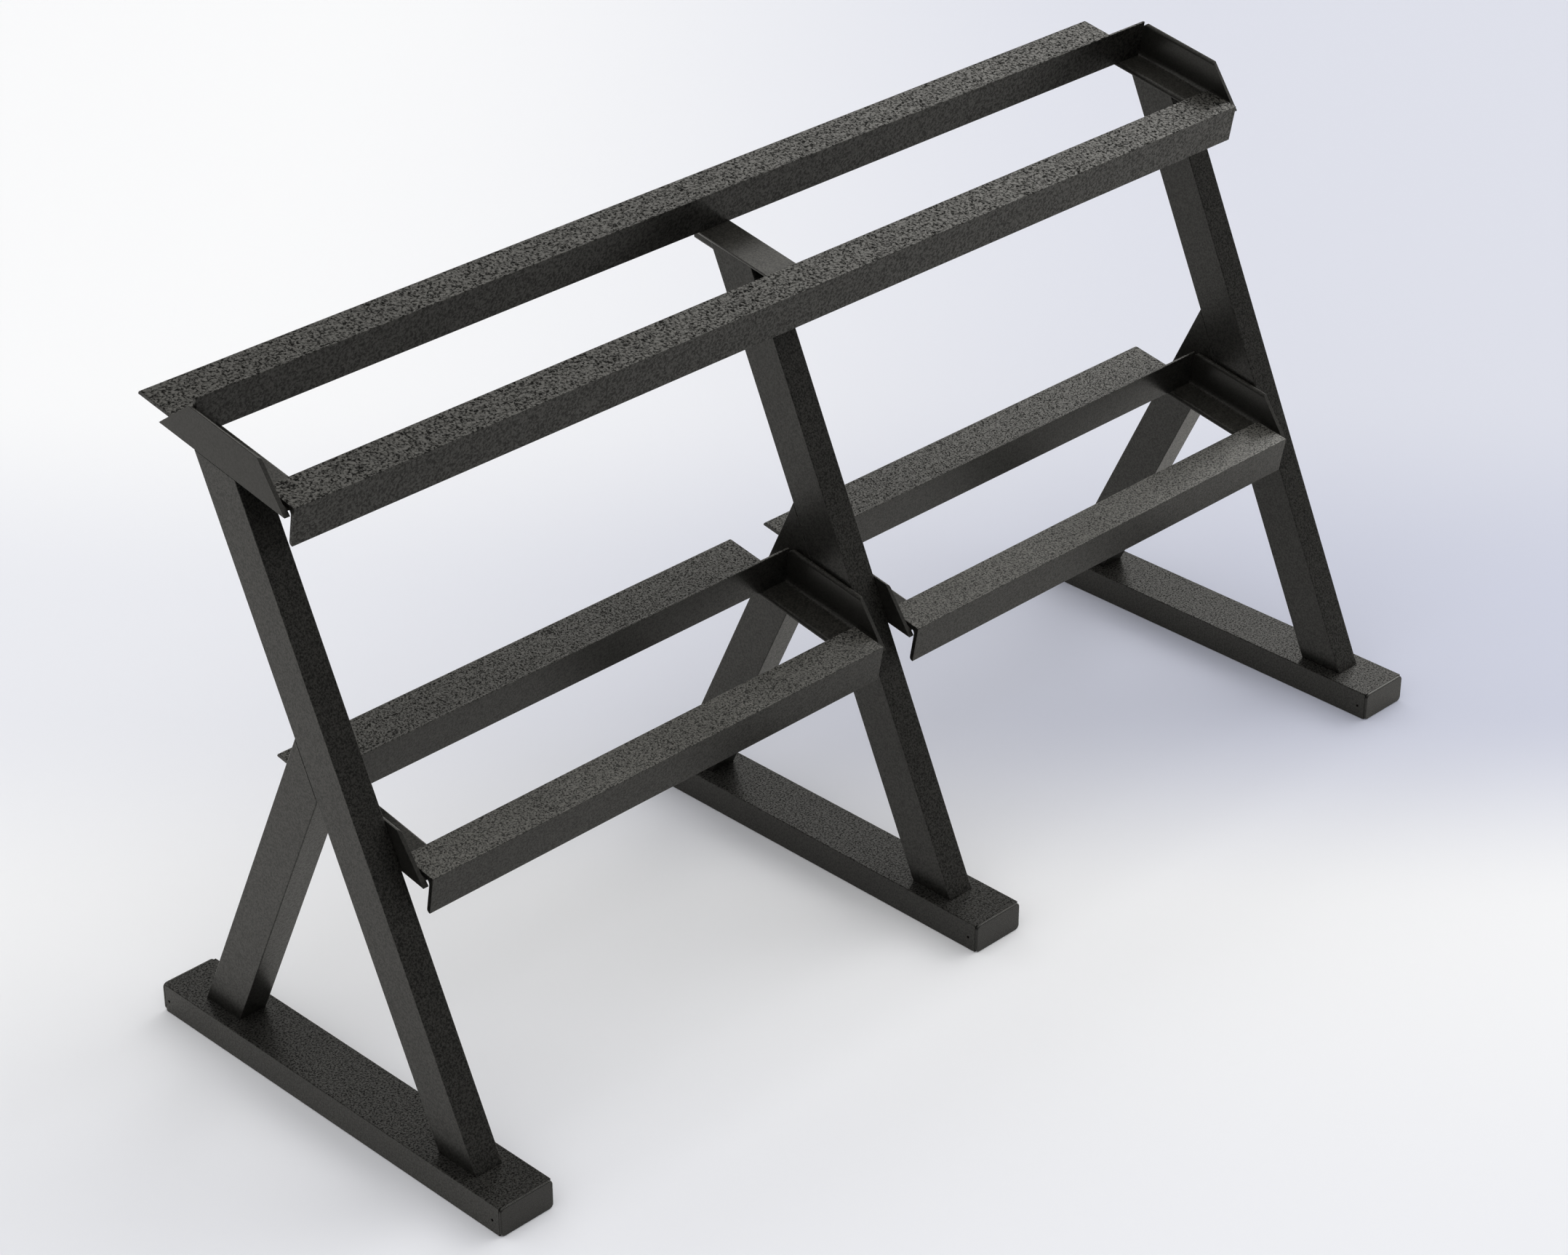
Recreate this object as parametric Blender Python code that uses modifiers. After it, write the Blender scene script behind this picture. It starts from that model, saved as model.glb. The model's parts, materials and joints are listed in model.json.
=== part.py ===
"""Dumbbell rack with three side frames and sloping angle-iron shelves on two levels.

Metres, +Z up. The origin is on the floor at the centre of the footprint, +X runs along the rack and the
front, where a user stands, faces -Y. Each shelf is laid out in its own frame: u runs down the slope towards
the front from the lowest rear corner of its end angles, and w is square to the shelf, upwards.
"""

import math

import bmesh
import bpy
from mathutils import Matrix, Vector

MM = 0.001
GAP = 0.3 * MM
ARC_STEPS = 5
SHARP = math.radians(40)

# Cutters: how far one runs past the metal that it cuts through, and how wide a slicing one is
PAST = 9 * MM
REACH = 1.5

# Side frames
FRAMES = {"left": -1000 * MM, "middle": 0.0, "right": 1000 * MM}
FLOOR_WIDE = 100 * MM
FLOOR_HIGH = 50 * MM
FLOOR_LONG = 777 * MM
POST_WIDE = 50 * MM
POST_DEEP = 75 * MM
WALL = 3 * MM
TUBE_CORNER = 1.5 * MM
LEAN = math.radians(65)
POST_FOOT = -313.1 * MM
BRACE_FOOT = 232.2 * MM
BELOW_FOOT = 80 * MM
POST_UNCUT = 1250 * MM
BRACE_UNCUT = 900 * MM
HOLE_RADIUS = 2.5 * MM
HOLE_SIDES = 20
HOLE_HIGH = 22 * MM
HOLE_FRONT = -374.3 * MM
HOLE_REAR = 379.6 * MM

# End caps of the floor tubes
FLANGE = 5 * MM - GAP
FLANGE_CORNER = 8 * MM
FLANGE_EDGE = 1.8 * MM
FLANGE_STEPS = 3
PLUG_DEEP = 12 * MM
PLUG_WALL = 2.5 * MM

# Angle iron
LEG = 64.5 * MM
THICK = 7 * MM
ROOT = 9 * MM
TOE = 6 * MM
SEAT_LEG = 129.2 * MM

# Shelves
SLOPE = math.radians(10)
TOP_CORNER = (304.5 * MM, 1042 * MM)
LOW_CORNER = (110.6 * MM, 502.25 * MM)
SHELF_DEEP = 281 * MM
MITRE = math.radians(45)
NOTCH = THICK + 3 * MM
COPE_FROM = 3 * MM
BEARER_FRONT = 269 * MM
REAR_FACE = 65.2 * MM
FRONT_FACE = 285.4 * MM
TOP_ENDS = (-1025 * MM, 1025 * MM)
LOW_ENDS = {"left": (-975 * MM + GAP, -28 * MM), "right": (25 * MM + GAP, 972 * MM)}
RAIL_INSET = 12.5 * MM


def clear_scene():
    for old in list(bpy.data.objects):
        bpy.data.objects.remove(old)


def collection(name, hidden=False):
    made = bpy.data.collections.new(name)
    made.hide_render = hidden
    bpy.context.scene.collection.children.link(made)
    return made


def material(name, colour, roughness):
    made = bpy.data.materials.new(name)
    made.use_nodes = True
    shader = made.node_tree.nodes["Principled BSDF"]
    shader.inputs["Base Color"].default_value = (*colour, 1.0)
    shader.inputs["Roughness"].default_value = roughness
    return made


def frame_matrix(origin, a_axis, b_axis, along):
    """Maps local (a, b, along) to world space."""
    turned = Matrix((a_axis, b_axis, along)).transposed().to_4x4()
    return Matrix.Translation(origin) @ turned


def shelf_frame(corner):
    """Local (u, w, X) of a shelf to world space."""
    down = Vector((0, -math.cos(SLOPE), -math.sin(SLOPE)))
    up = Vector((0, -math.sin(SLOPE), math.cos(SLOPE)))
    return frame_matrix(Vector((0, *corner)), down, up, Vector((1, 0, 0)))


def bearer_frame(corner):
    """Local (X, w, u) of a shelf to world space."""
    down = Vector((0, -math.cos(SLOPE), -math.sin(SLOPE)))
    up = Vector((0, -math.sin(SLOPE), math.cos(SLOPE)))
    return frame_matrix(Vector((0, *corner)), Vector((1, 0, 0)), up, down)


def leg_frame(x, foot, backwards):
    """Local (X, depth from the front face, up the leg) of a leaning leg to world space."""
    up = Vector((0, backwards * math.cos(LEAN), math.sin(LEAN)))
    depth = Vector((0, math.sin(LEAN), -backwards * math.cos(LEAN)))
    return frame_matrix(Vector((x, foot, FLOOR_HIGH)), Vector((1, 0, 0)), depth, up)


def prism(name, outline, start, end, frame, home, radii=None):
    """A bar of this outline between two distances along its frame. A Bevel rounds each long edge by its radius."""
    mesh = bpy.data.meshes.new(name)
    bm = bmesh.new()
    weights = bm.edges.layers.float.new("bevel_weight_edge")
    first = [bm.verts.new((a, b, start)) for a, b in outline]
    last = [bm.verts.new((a, b, end)) for a, b in outline]
    bm.faces.new(first)
    bm.faces.new(last)
    most = max(radii) if radii else 0.0
    for i in range(len(outline)):
        j = (i + 1) % len(outline)
        bm.faces.new((first[i], first[j], last[j], last[i]))
    for i in range(len(outline)):
        long_edge = bm.edges.get((first[i], last[i]))
        long_edge[weights] = radii[i] / most if most else 0.0
    bmesh.ops.transform(bm, matrix=frame, verts=bm.verts)
    bmesh.ops.recalc_face_normals(bm, faces=bm.faces)
    bm.to_mesh(mesh)
    bm.free()
    made = bpy.data.objects.new(name, mesh)
    home.objects.link(made)
    if most:
        rounding = made.modifiers.new("Rounded edges", "BEVEL")
        rounding.limit_method = "WEIGHT"
        rounding.width = most
        rounding.segments = ARC_STEPS
    return made


def box_outline(a0, a1, b0, b1):
    return [(a0, b0), (a1, b0), (a1, b1), (a0, b1)]


def combine(target, tool, operation="DIFFERENCE"):
    boolean = target.modifiers.new(operation.title(), "BOOLEAN")
    boolean.operation = operation
    boolean.solver = "EXACT"
    boolean.object = tool


def cutter(name, outline, start, end, frame, radii=None):
    made = prism(name, outline, start, end, frame, CUTTERS, radii)
    made.hide_render = True
    made.display_type = "WIRE"
    return made


def angle_outline(corner, leg_a, leg_b):
    """An L whose outer corner is at corner, with signed legs, and the radii of its toes and root."""
    a, b = corner
    ta = math.copysign(THICK, leg_a)
    tb = math.copysign(THICK, leg_b)
    points = [
        (a, b),
        (a + leg_a, b),
        (a + leg_a, b + tb),
        (a + ta, b + tb),
        (a + ta, b + leg_b),
        (a, b + leg_b),
    ]
    return points, [0.0, 0.0, TOE, ROOT, TOE, 0.0]


def hollow(name, outline_box, inner_box, start, end, frame):
    """A square-cornered tube, open at both ends."""
    corner = [TUBE_CORNER] * 4
    made = prism(name, box_outline(*outline_box), start, end, frame, RACK, corner)
    bore = cutter(name + "_bore", box_outline(*inner_box), start - PAST, end + PAST, frame)
    combine(made, bore)
    return made


def floor_frame(x):
    """Local (X, Z, -Y) to world space: distances run from the rear to the front."""
    return frame_matrix(Vector((x, 0, 0)), Vector((1, 0, 0)), Vector((0, 0, 1)), Vector((0, -1, 0)))


def floor_tube(side, x):
    wide, long = FLOOR_WIDE / 2, FLOOR_LONG / 2
    outer = (-wide, wide, 0, FLOOR_HIGH)
    inner = (-wide + WALL, wide - WALL, WALL, FLOOR_HIGH - WALL)
    made = hollow(f"floor_tube_{side}", outer, inner, -long, long, floor_frame(x))
    for end, y in (("front", HOLE_FRONT), ("rear", HOLE_REAR)):
        bpy.ops.mesh.primitive_cylinder_add(
            vertices=HOLE_SIDES, radius=HOLE_RADIUS, depth=FLOOR_WIDE + 2 * PAST
        )
        drill = bpy.context.object
        drill.name = f"{side}_{end}_drill"
        drill.data.transform(Matrix.Translation((x, y, HOLE_HIGH)) @ Matrix.Rotation(math.pi / 2, 4, "Y"))
        helper(drill)
        combine(made, drill)
    return made


def helper(made):
    for home in list(made.users_collection):
        home.objects.unlink(made)
    CUTTERS.objects.link(made)
    made.hide_render = True
    made.display_type = "WIRE"


def end_cap(side, end, x):
    """A moulded cap: a flange with rounded corners and edges, and a hollow plug inside the tube."""
    facing = 1 if end == "front" else -1
    wide, long = FLOOR_WIDE / 2, FLOOR_LONG / 2 + GAP
    frame = frame_matrix(
        Vector((x, 0, 0)), Vector((1, 0, 0)), Vector((0, 0, 1)), Vector((0, -facing, 0))
    )
    made = prism(
        f"cap_{side}_{end}",
        box_outline(-wide, wide, 0, FLOOR_HIGH),
        long,
        long + FLANGE,
        frame,
        RACK,
        [FLANGE_CORNER] * 4,
    )
    edges = made.modifiers.new("Soft edges", "BEVEL")
    edges.limit_method = "ANGLE"
    edges.angle_limit = SHARP
    edges.width = FLANGE_EDGE
    edges.segments = FLANGE_STEPS
    inset = WALL + GAP
    plug_box = (-wide + inset, wide - inset, inset, FLOOR_HIGH - inset)
    plug = cutter(f"{side}_{end}_plug", box_outline(*plug_box), long - PLUG_DEEP, long + FLANGE / 2, frame)
    combine(made, plug, "UNION")
    inset += PLUG_WALL
    well_box = (-wide + inset, wide - inset, inset, FLOOR_HIGH - inset)
    well = cutter(f"{side}_{end}_well", box_outline(*well_box), long - 2 * PLUG_DEEP, long, frame)
    combine(made, well)
    return made


def leg_tube(name, x, foot, backwards, length):
    frame = leg_frame(x, foot, backwards)
    half = POST_WIDE / 2
    outer = (-half, half, 0, POST_DEEP)
    inner = (-half + WALL, half - WALL, WALL, POST_DEEP - WALL)
    made = hollow(name, outer, inner, -BELOW_FOOT, length, frame)
    level = frame_matrix(Vector((x, 0, 0)), Vector((1, 0, 0)), Vector((0, 1, 0)), Vector((0, 0, 1)))
    ground = cutter(
        name + "_foot_cut",
        box_outline(-REACH, REACH, foot - REACH, foot + REACH),
        FLOOR_HIGH + GAP - REACH,
        FLOOR_HIGH + GAP,
        level,
    )
    combine(made, ground)
    return made


def post(side, x):
    made = leg_tube(f"post_{side}", x, POST_FOOT, 1, POST_UNCUT)
    frame = bearer_frame(TOP_CORNER)
    top = cutter(
        f"post_{side}_top_cut", box_outline(x - REACH, x + REACH, -GAP, REACH), -REACH, REACH, frame
    )
    combine(made, top)
    return made


def brace(side, x):
    made = leg_tube(f"brace_{side}", x, BRACE_FOOT, -1, BRACE_UNCUT)
    frame = leg_frame(x, POST_FOOT, 1)
    behind = box_outline(-REACH, REACH, -REACH, POST_DEEP + GAP)
    seat = cutter(f"brace_{side}_top_cut", behind, -REACH, REACH, frame)
    combine(made, seat)
    return made


def shelf_rail(name, corner, legs, level, ends, end_angles):
    """A rail from one end angle to the other, coped at both ends to clear their root fillets."""
    frame = shelf_frame(corner)
    points, radii = angle_outline(legs[0], *legs[1:])
    points = [(a, b + level) for a, b in points]
    made = prism(name, points, ends[0] + RAIL_INSET, ends[1] - RAIL_INSET, frame, RACK, radii)
    for cope in end_angles:
        combine(made, cope)
    return made


def cope_cutter(name, corner, x, inwards, upwards=1):
    """The root of an angle whose outer corner is at X = x, grown by the gap on its fillet only."""
    centre_x = x + inwards * (THICK + ROOT)
    centre_w = THICK + ROOT
    radius = ROOT - GAP
    outline = [(x - inwards * PAST, COPE_FROM), (centre_x, COPE_FROM)]
    for step in range(ARC_STEPS + 1):
        turn = math.pi / 2 * step / ARC_STEPS
        outline.append(
            (centre_x - inwards * radius * math.sin(turn), centre_w - radius * math.cos(turn))
        )
    outline.append((x - inwards * PAST, centre_w))
    if upwards < 0:
        outline = [(a, THICK - b) for a, b in outline]
    return cutter(name, outline, -REACH, REACH, bearer_frame(corner))


def end_angle(name, corner, x, inwards):
    """Carries one end of a shelf: its upright leg is cut at 45 degrees at both ends."""
    frame = bearer_frame(corner)
    points, radii = angle_outline((x, 0), inwards * LEG, LEG)
    made = prism(name, points, 0, SHELF_DEEP, frame, RACK, radii)
    down = Vector((0, -math.cos(SLOPE), -math.sin(SLOPE)))
    up = Vector((0, -math.sin(SLOPE), math.cos(SLOPE)))
    origin = Vector((0, *corner))
    for end, at, lean in (("rear", 0.0, 1), ("front", SHELF_DEEP, -1)):
        blade = down * math.cos(MITRE) * lean + up * math.sin(MITRE)
        away = -down * math.sin(MITRE) * lean + up * math.cos(MITRE)
        mitre = frame_matrix(origin + down * at, Vector((1, 0, 0)), away, blade)
        beyond = box_outline(x - REACH, x + REACH, 0, REACH)
        combine(made, cutter(f"{name}_{end}_cut", beyond, -REACH, REACH, mitre))
    notch_x = sorted((x + inwards * NOTCH, x + inwards * (LEG + PAST)))
    notch_box = box_outline(*notch_x, -PAST, THICK + ROOT + PAST)
    notch = cutter(f"{name}_notch", notch_box, BEARER_FRONT, SHELF_DEEP + PAST, frame)
    combine(made, notch)
    return made


def shelf(prefix, corner, ends):
    """Two end angles and two rails. The rear rail's wide leg is the seat; the front rail hangs its leg down."""
    sides = [
        end_angle(f"{prefix}_end_angle_left", corner, ends[0], 1),
        end_angle(f"{prefix}_end_angle_right", corner, ends[1], -1),
    ]
    copes = [
        cope_cutter(f"{prefix}_cope_left", corner, ends[0], 1),
        cope_cutter(f"{prefix}_cope_right", corner, ends[1], -1),
    ]
    level = THICK + GAP
    rear_legs = ((REAR_FACE, 0), -SEAT_LEG, LEG)
    front_legs = ((FRONT_FACE, THICK), -LEG, -LEG)
    rails = [
        shelf_rail(f"{prefix}_rear_rail", corner, rear_legs, level, ends, copes),
        shelf_rail(f"{prefix}_front_rail", corner, front_legs, level, ends, copes),
    ]
    return sides + rails


def cross_angle(middle_post):
    """Ties the two top rails over the middle post, its second leg hanging beside the post."""
    edge = FRAMES["middle"] + POST_WIDE / 2 + GAP + THICK
    points, radii = angle_outline((edge, THICK), -LEG, -LEG)
    combine(middle_post, cope_cutter("middle_post_relief", TOP_CORNER, edge, -1, -1))
    return prism("top_cross_angle", points, 0, BEARER_FRONT, bearer_frame(TOP_CORNER), RACK, radii)


clear_scene()
RACK = collection("Dumbbell rack")
CUTTERS = collection("Cutters", hidden=True)
made_by_slot = {"steel": [], "rail": [], "cap": []}
posts = {}
for side, x in FRAMES.items():
    posts[side] = post(side, x)
    made_by_slot["steel"] += [floor_tube(side, x), posts[side], brace(side, x)]
    made_by_slot["cap"] += [end_cap(side, "front", x), end_cap(side, "rear", x)]
made_by_slot["rail"] += shelf("top", TOP_CORNER, TOP_ENDS)
made_by_slot["rail"].append(cross_angle(posts["middle"]))
for side, ends in LOW_ENDS.items():
    made_by_slot["rail"] += shelf(f"low_{side}", LOW_CORNER, ends)
colours = {
    "steel": ((0.055, 0.054, 0.05), 0.55),
    "rail": ((0.06, 0.06, 0.056), 0.6),
    "cap": ((0.045, 0.045, 0.043), 0.45),
}
for slot, objects in made_by_slot.items():
    for made in objects:
        made.data.materials.append(material(made.name, *colours[slot]))
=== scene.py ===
"""Finished surfaces, coatings and studio for a dumbbell rack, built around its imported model.

Metres, +Z up. The origin is on the floor at the centre of the footprint, +X runs along the rack and its
front, where a user stands, faces -Y. Each shelf is laid out in its own directions: u runs down the slope to
the front, w is square to the shelf, upwards, and both start at the lowest rear corner of its end angles.
"""

import json
import math

import bmesh
import bpy
import numpy as np
from bpy.props import FloatProperty, FloatVectorProperty, PointerProperty
from bpy.types import Operator, Panel, PropertyGroup
from mathutils import Matrix, Vector

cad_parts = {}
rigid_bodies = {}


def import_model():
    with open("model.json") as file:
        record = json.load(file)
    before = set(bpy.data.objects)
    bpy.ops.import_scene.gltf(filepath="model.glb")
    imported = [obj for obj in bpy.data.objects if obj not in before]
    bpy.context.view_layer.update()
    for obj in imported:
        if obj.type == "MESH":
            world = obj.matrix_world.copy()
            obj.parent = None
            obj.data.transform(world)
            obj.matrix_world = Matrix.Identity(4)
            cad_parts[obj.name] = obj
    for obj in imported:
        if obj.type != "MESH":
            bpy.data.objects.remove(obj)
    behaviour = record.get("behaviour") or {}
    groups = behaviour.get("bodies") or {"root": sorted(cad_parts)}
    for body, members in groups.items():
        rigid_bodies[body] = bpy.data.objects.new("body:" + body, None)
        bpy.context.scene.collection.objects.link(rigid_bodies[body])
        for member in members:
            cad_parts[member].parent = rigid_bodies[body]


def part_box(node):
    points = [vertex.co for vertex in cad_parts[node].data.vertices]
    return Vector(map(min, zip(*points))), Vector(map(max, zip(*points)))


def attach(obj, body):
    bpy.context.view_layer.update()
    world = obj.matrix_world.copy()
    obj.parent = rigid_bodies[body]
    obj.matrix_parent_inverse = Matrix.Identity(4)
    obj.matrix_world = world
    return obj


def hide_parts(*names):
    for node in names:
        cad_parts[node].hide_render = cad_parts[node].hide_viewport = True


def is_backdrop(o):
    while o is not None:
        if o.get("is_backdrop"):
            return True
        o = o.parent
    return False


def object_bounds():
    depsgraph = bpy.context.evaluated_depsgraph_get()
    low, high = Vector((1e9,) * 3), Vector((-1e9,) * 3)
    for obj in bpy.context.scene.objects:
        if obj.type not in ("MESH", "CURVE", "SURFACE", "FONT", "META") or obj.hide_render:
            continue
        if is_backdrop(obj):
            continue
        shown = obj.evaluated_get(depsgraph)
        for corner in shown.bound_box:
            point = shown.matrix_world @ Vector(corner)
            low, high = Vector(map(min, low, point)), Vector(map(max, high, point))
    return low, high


bl_info = {
    "name": "Dumbbell Rack",
    "version": (1, 0, 0),
    "blender": (4, 5, 0),
    "location": "3D View > Sidebar > Rack",
    "description": "Builds the finished surfaces of a dumbbell rack around its packed model",
    "category": "Object",
}

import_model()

SIDES = ("left", "middle", "right")
SHELVES = ("top", "low_left", "low_right")
MM = 0.001
UPWARDS = np.array([0.0, 0.0, 1.0])

# Steps in each rounded corner, and how far to either side of a notch the root's arc is parted.
ARC_STEPS = 5
HAIR = 0.01 * MM

# Edges sharper than this stay sharp, and the rest are shaded smooth with flat faces counting most.
SHARP_EDGE = math.radians(40)
FLAT_WEIGHT = 90

# A drill has this many sides, and is this many times as long as the piece is wide.
DRILL_SIDES = 24
DRILL_REACH = 1.2

# Rings on the flat front of a cap and in its well, in shares of its half height, and their least radius.
CAP_FRONT_RINGS = (0.6, 0.35, 0.1)
CAP_WELL_RING = 0.3
CAP_LEAST_RADIUS = 1.2 * MM

# The middle post's top falls by this much for each unit under the cross angle's root fillet.
RELIEF_FALL = 1.3

# The coats' noise reads as pit below the first value and as crest above the second.
GRAIN_BAND = (0.38, 0.62)
# Broad patches of the coats: cells in a metre, the noise they spread over, and the tones they swing between.
PATCH_SCALE = 9.0
PATCH_BAND = (0.3, 0.7)
PATCH_TONES = (0.88, 1.12)
# Heights of a face's normal between which it turns from an upright face into an upper one, whose crests take
# a lighter tone, painted light from above.
UPPER_BAND = (0.6, 0.95)
# How far a crest would stand above a pit at full relief.
CREST_HEIGHT = 0.6 * MM

# Tones of the floor by depth behind the middle of the rack, and the share of the shade on the left and right.
FLOOR_DEPTHS = (-1.1, -0.2, 0.45, 0.8, 1.7)
LEFT_SHADES = (0.25, 0.05, 0.35, 0.35, 0.0)
RIGHT_SHADES = (0.25, 0.05, 1.0, 1.0, 0.7)
# The depths that the tones are spread over, and the stretch where the left's tones pass into the right's. The
# pattern is turned, so that depth runs away from the camera.
DEPTH_REACH = (-2.0, 4.0)
FLOOR_BLEND = (-1.3, 1.1)
FLOOR_TURN = math.radians(45)

# Heights and sideways directions over which the sky brightens.
SKY_RISE = (0.15, 0.62)
SKY_ACROSS = (0.5, 0.85)
# Bearing and height of each fill lamp, in degrees.
LAMPS = ((-60, 50), (60, 35), (180, 35))


# ---------------------------------------------------------------- sizes and looks


def length(name, description, default):
    return FloatProperty(name=name, description=description, default=default, min=0.0, unit="LENGTH")


def colour(name, description, default):
    return FloatVectorProperty(
        name=name, description=description, default=default, subtype="COLOR", size=3, min=0.0, max=1.0
    )


def amount(name, description, default, most=1.0):
    return FloatProperty(name=name, description=description, default=default, min=0.0, max=most)


class RackSizes(PropertyGroup):
    leg: length("Leg", "Leg of the angle iron", 0.0645)
    seat_leg: length("Seat leg", "Wide leg of the rear rails, which the rear heads rest on", 0.1292)
    thick: length("Thickness", "Thickness of the angle iron", 0.007)
    root: length("Root radius", "Fillet between the two legs", 0.0084)
    toe: length("Toe radius", "Rounding of the inner edge of each leg", 0.0058)
    edge: length("Edge radius", "Softening of sawn and outer edges", 0.0006)
    shelf_deep: length("Shelf depth", "End angles, along the slope", 0.281)
    bearer_front: length("Bearer depth", "Where the level legs of the bearers end, along the slope", 0.269)
    notch: length("Notch", "Where an end angle's level leg is cut back, from its outer face", 0.010)
    rear_face: length("Rear lip", "Front face of the rear rail's lip, along the slope", 0.0652)
    front_face: length("Front face", "Front face of the front rail, along the slope", 0.2854)
    gap: length("Clearance", "Gap between pieces that meet", 0.0003)
    wall: length("Tube wall", "Wall of the rectangular tubes", 0.003)
    tube_corner: length("Tube corner", "Outer corner radius of the tubes", 0.0015)
    leg_deep: length("Post depth", "Depth of the posts and braces, front to rear", 0.075)
    hole: length("Hole radius", "Small holes in the sides of the floor tubes", 0.0025)
    hole_high: length("Hole height", "Height of those holes above the floor", 0.022)
    hole_inset: length("Hole inset", "Distance of those holes from the tube's end, front", 0.0142)
    hole_inset_rear: length("Hole inset, rear", "Distance of those holes from the tube's end, rear", 0.0089)
    flange: length("Cap flange", "Thickness of an end cap outside the tube", 0.0047)
    flange_corner: length("Cap corner", "Corner radius of an end cap's outline", 0.008)
    flange_edge: length("Cap edge", "Rounding of an end cap's front edge", 0.0018)
    plug_wall: length("Plug wall", "Wall of an end cap's plug", 0.0025)
    slope: FloatProperty(
        name="Slope", description="Tilt of the shelves", default=math.radians(10), subtype="ANGLE"
    )
    lean: FloatProperty(
        name="Lean", description="Lean of posts and braces", default=math.radians(65), subtype="ANGLE"
    )


class CoatLooks(PropertyGroup):
    pit: colour("Grain pits", "Darkest tone of the powder coats", (0.002, 0.002, 0.0018))
    crest: colour("Grain crests", "Lightest tone on the coats' upright faces", (0.024, 0.0232, 0.0205))
    # The two crest tones below are painted light: upper faces are lighter, as light falls on them from above,
    # and the fine crests are lighter still, to make up for the shade that the top shelf casts on the lower
    # shelves.
    painted_light_top_crest: colour("Top crests", "Lightest tone on the coarse coat's upper faces", (0.056, 0.0545, 0.049))
    painted_light_low_crest: colour("Painted light fine crests", "Lightest tone on the fine coat's upper faces", (0.072, 0.0705, 0.0645))
    cap: colour("End cap", "Moulded plastic of the end caps", (0.008, 0.008, 0.0075))
    sheen: colour("Gloss tint", "Tint of the coat's gloss", (1.0, 0.985, 0.94))
    coarse: FloatProperty(name="Coarse grain", description="Coarse grain cells in a metre", default=230.0)
    fine: FloatProperty(name="Fine grain", description="Fine grain cells in a metre", default=340.0)
    rough: amount("Roughness", "Roughness of the rails' coats on their crests", 0.28)
    tube_rough: amount("Tube roughness", "Roughness of the tubes' coat on its crests", 0.32)
    cap_rough: amount("Cap roughness", "Roughness of the end caps", 0.24)


class StudioLooks(PropertyGroup):
    floor: colour("Floor", "Pale studio floor", (0.885, 0.895, 0.925))
    shade: colour("Floor shade", "Cool tone of the floor to the right", (0.585, 0.61, 0.73))
    mirrored: colour("Floor in gloss", "Tone of the floor as the coat reflects it", (0.86, 0.85, 0.828))
    sky: colour("Sky", "Tint of the light from above", (1.0, 0.985, 0.945))
    backdrop: colour("Backdrop", "What shows beyond the floor", (0.84, 0.85, 0.88))
    overhead: amount("Overhead light", "Brightness of the sky above", 2.9, 10.0)
    horizon: amount("Horizon light", "Brightness of the sky at the horizon", 0.05, 10.0)
    left: amount("Left light", "Share of the sky's brightness that its left side has", 0.2)
    lamp: amount("Lamps", "Strength of each broad lamp, seen by the floor and not in the gloss", 0.72, 10.0)
    spread: FloatProperty(
        name="Lamp spread", description="How wide each lamp is", default=math.radians(80), subtype="ANGLE"
    )
    half: length("Floor half width", "From the middle of the floor to its edges", 40.0)
    drop: length("Floor drop", "How far the floor lies below the feet", 0.0002)
    lens: FloatProperty(name="Lens", description="Focal length in millimetres", default=88.83, min=1.0)
    camera: FloatVectorProperty(
        name="Camera", description="Place of the camera", default=(-3.8341, -3.7426, 3.5086), unit="LENGTH"
    )
    aim: FloatVectorProperty(
        name="Aim", description="Which way the camera looks", default=(0.61268, 0.61200, -0.50010)
    )


# ---------------------------------------------------------------- surfaces


def arc(corner, first, last, radius, turn):
    """Rounds a right-angled corner: corner + radius (first (1 - sin t) + last (1 - cos t)).

    first and last are the directions from the corner along its two sides, and t runs over the given turns,
    so 0 touches the first side and a quarter turn touches the last.
    """
    turn = np.asarray(turn, float)[:, None]
    corner, first, last = (np.asarray(v, float) for v in (corner, first, last))
    return corner + radius * (first * (1 - np.sin(turn)) + last * (1 - np.cos(turn)))


def quarter(steps=ARC_STEPS):
    """Turns from 0 to a quarter turn, in equal steps."""
    return np.linspace(0.0, math.pi / 2, steps + 1)


def angle_section(sizes, leg_a, leg_b, notch=None):
    """Outer and inner outline of an angle iron, matched point by point, with its corner at (0, 0).

    Leg a lies along +a and leg b along +b. Outside, the two ends and the corner are small arcs. Inside, the
    toes and the root are larger arcs. With a notch, the root arc is parted where a = notch, and the points
    beyond it sit straight below their partners, so that a cut there is a plane square to leg a.
    """
    t, e = sizes.thick, sizes.edge
    turn = quarter()
    last = math.pi / 2
    outer = [arc((leg_a, 0), (0, 1), (-1, 0), e, turn)]
    inner = [arc((leg_a, t), (0, -1), (-1, 0), sizes.toe, turn)]
    if notch is None:
        outer.append(arc((0, 0), (1, 0), (0, 1), e, turn))
        inner.append(arc((t, t), (1, 0), (0, 1), sizes.root, turn))
    else:
        parted = [math.asin(1 - (notch + side - t) / sizes.root) for side in (HAIR, -HAIR)]
        far = arc((t, t), (1, 0), (0, 1), sizes.root, np.linspace(0, parted[0], ARC_STEPS + 1))
        near = arc((t, t), (1, 0), (0, 1), sizes.root, np.linspace(parted[1], last, ARC_STEPS + 1))
        outer.append(far * (1, 0))
        outer.append(near[:1] * (1, 0))
        outer.append(arc((0, 0), (1, 0), (0, 1), e, quarter(ARC_STEPS - 1)))
        inner += [far, near]
    outer.append(arc((0, leg_b), (0, -1), (1, 0), e, turn))
    inner.append(arc((t, leg_b), (0, -1), (-1, 0), sizes.toe, turn))
    return np.vstack(outer), np.vstack(inner)


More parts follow.
